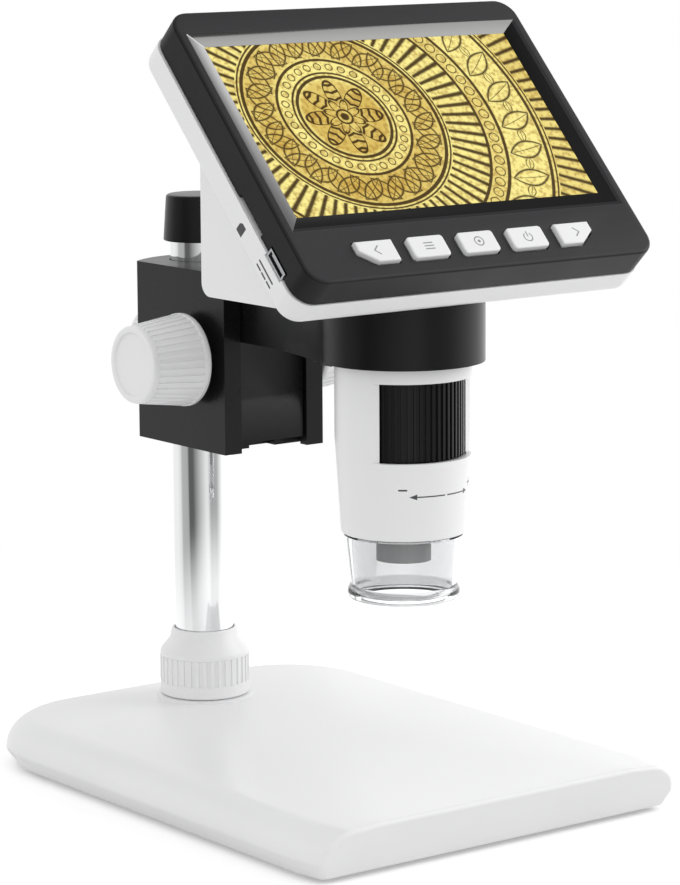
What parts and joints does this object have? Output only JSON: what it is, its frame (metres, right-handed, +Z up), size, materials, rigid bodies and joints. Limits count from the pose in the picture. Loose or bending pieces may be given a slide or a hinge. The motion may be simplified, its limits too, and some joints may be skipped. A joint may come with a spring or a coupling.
{
  "type": "lcd digital microscope",
  "caption": "Desktop digital microscope: tilted screen head on an optical barrel, rack-and-pinion focus carriage on a chrome pole, white moulded base.",
  "frame": {"origin": "on the floor, under the middle of the base's footprint", "axes": "+Z up along the pole; -Y towards the user, whom the screen faces; +X to the user's right"},
  "size_m": [0.1176, 0.163, 0.2065],
  "materials": {
    "white_shell": "satin white moulded plastic",
    "black_shell": "fine-textured black moulded plastic",
    "chrome": "mirror chrome",
    "steel": "plain zinc-plated steel",
    "black_metal": "matt black anodised",
    "brass": "machined brass",
    "rubber": "matt black rubber",
    "nylon": "natural nylon",
    "clear_plastic": "clear polished plastic",
    "cover_glass": "glossy glass over a lit picture",
    "circuit": "green circuit board",
    "cell_wrap": "blue shrink wrap",
    "lcd_module": "display module in a thin metal frame"
  },
  "bodies": {
    "stand": {"base_shell": "white_shell", "base_cover": "black_shell", "ballast_plate": "steel", "foot_front_left": "rubber", "foot_front_right": "rubber", "foot_back_left": "rubber", "foot_back_right": "rubber", "base_screw_front_left": "steel", "base_screw_front_right": "steel", "base_screw_back_left": "steel", "base_screw_back_right": "steel", "pole_tube": "chrome", "pole_plug": "steel", "pole_screw": "steel", "clamp_ring": "nylon", "pole_cap": "black_shell"},
    "collar_nut": {"collar_nut": "white_shell"},
    "carriage_bush": {"pole_bush": "nylon"},
    "carriage": {"carriage_housing": "black_shell", "shaft_bush_left": "nylon", "shaft_bush_right": "nylon", "lock_pad": "brass"},
    "lock_knob": {"lock_knob": "white_shell", "lock_screw": "steel"},
    "focus_drive": {"focus_shaft": "steel", "focus_pinion": "brass", "focus_knob_left": "white_shell", "focus_knob_right": "white_shell"},
    "focus_slide": {"focus_arm": "black_shell", "focus_rack": "brass"},
    "holder_liner": {"holder_liner": "black_shell"},
    "scope": {"front_bezel": "black_shell", "rear_shell": "white_shell", "screen_glass": "cover_glass", "lcd_panel": "lcd_module", "main_board": "circuit", "button_board": "circuit", "power_socket": "steel", "card_socket": "steel", "shell_screw_left": "steel", "shell_screw_right": "steel", "battery_cell": "cell_wrap", "barrel_tube": "white_shell", "barrel_sleeve": "black_shell", "sensor_board": "circuit", "led_board": "circuit"},
    "focus_wheel": {"focus_wheel": "black_shell"},
    "lens_carrier": {"lens_carrier": "black_metal", "objective_lens": "clear_plastic"},
    "nose_cap": {"nose_cap": "clear_plastic"},
    "button_left": {"button_left": "white_shell"},
    "button_menu": {"button_menu": "white_shell"},
    "button_middle": {"button_middle": "white_shell"},
    "button_power": {"button_power": "white_shell"},
    "button_right": {"button_right": "white_shell"}
  },
  "joints": [
    {"name": "collar_nut_turn", "type": "hinge", "parent": "stand", "child": "collar_nut", "pos_m": [0, 0.0499, 0.025], "axis": [0, 0, 1], "range_deg": [0, 360]},
    {"name": "carriage_height", "type": "slide", "parent": "stand", "child": "carriage_bush", "axis": [0, 0, 1], "range_m": [-0.022, 0.005]},
    {"name": "carriage_swing", "type": "hinge", "parent": "carriage_bush", "child": "carriage", "pos_m": [0, 0.0499, 0.1124], "axis": [0, 0, 1], "range_deg": [-180, 180]},
    {"name": "lock_knob_turn", "type": "hinge", "parent": "carriage", "child": "lock_knob", "pos_m": [0, 0.065, 0.1126], "axis": [0, 1, 0], "range_deg": [0, 360]},
    {"name": "focus_travel", "type": "slide", "parent": "carriage", "child": "focus_slide", "axis": [0, 0, 1], "range_m": [-0.012, 0.015]},
    {"name": "focus_drive_turn", "type": "hinge", "parent": "carriage", "child": "focus_drive", "pos_m": [0, 0.0299, 0.1128], "axis": [1, 0, 0], "range_deg": [-155, 124]},
    {"name": "head_swivel", "type": "hinge", "parent": "focus_slide", "child": "holder_liner", "pos_m": [0, -0.0399, 0.127], "axis": [0, 0, 1], "range_deg": [-90, 90]},
    {"name": "scope_lift", "type": "slide", "parent": "holder_liner", "child": "scope", "axis": [0, 0, 1], "range_m": [0, 0.08]},
    {"name": "focus_wheel_turn", "type": "hinge", "parent": "scope", "child": "focus_wheel", "pos_m": [0, -0.0399, 0.1048], "axis": [0, 0, 1], "range_deg": [-135, 135]},
    {"name": "lens_travel", "type": "slide", "parent": "scope", "child": "lens_carrier", "axis": [0, 0, 1], "range_m": [-0.004, 0.004]},
    {"name": "nose_cap_pull", "type": "slide", "parent": "scope", "child": "nose_cap", "axis": [0, 0, -1], "range_m": [0, 0.006]},
    {"name": "button_left_press", "type": "slide", "parent": "scope", "child": "button_left", "axis": [0, 0.7193, -0.6947], "range_m": [0, 0.0005], "stiffness_N_per_m": 1000, "springref_m": -0.0003},
    {"name": "button_menu_press", "type": "slide", "parent": "scope", "child": "button_menu", "axis": [0, 0.7193, -0.6947], "range_m": [0, 0.0005], "stiffness_N_per_m": 1000, "springref_m": -0.0003},
    {"name": "button_middle_press", "type": "slide", "parent": "scope", "child": "button_middle", "axis": [0, 0.7193, -0.6947], "range_m": [0, 0.0005], "stiffness_N_per_m": 1000, "springref_m": -0.0003},
    {"name": "button_power_press", "type": "slide", "parent": "scope", "child": "button_power", "axis": [0, 0.7193, -0.6947], "range_m": [0, 0.0005], "stiffness_N_per_m": 1000, "springref_m": -0.0003},
    {"name": "button_right_press", "type": "slide", "parent": "scope", "child": "button_right", "axis": [0, 0.7193, -0.6947], "range_m": [0, 0.0005], "stiffness_N_per_m": 1000, "springref_m": -0.0003}
  ],
  "couplings": [
    {"joint": "focus_drive_turn", "follows": "focus_travel", "rad_per_m": -178.57},
    {"joint": "focus_wheel_turn", "follows": "lens_travel", "rad_per_m": 588.24}
  ]
}
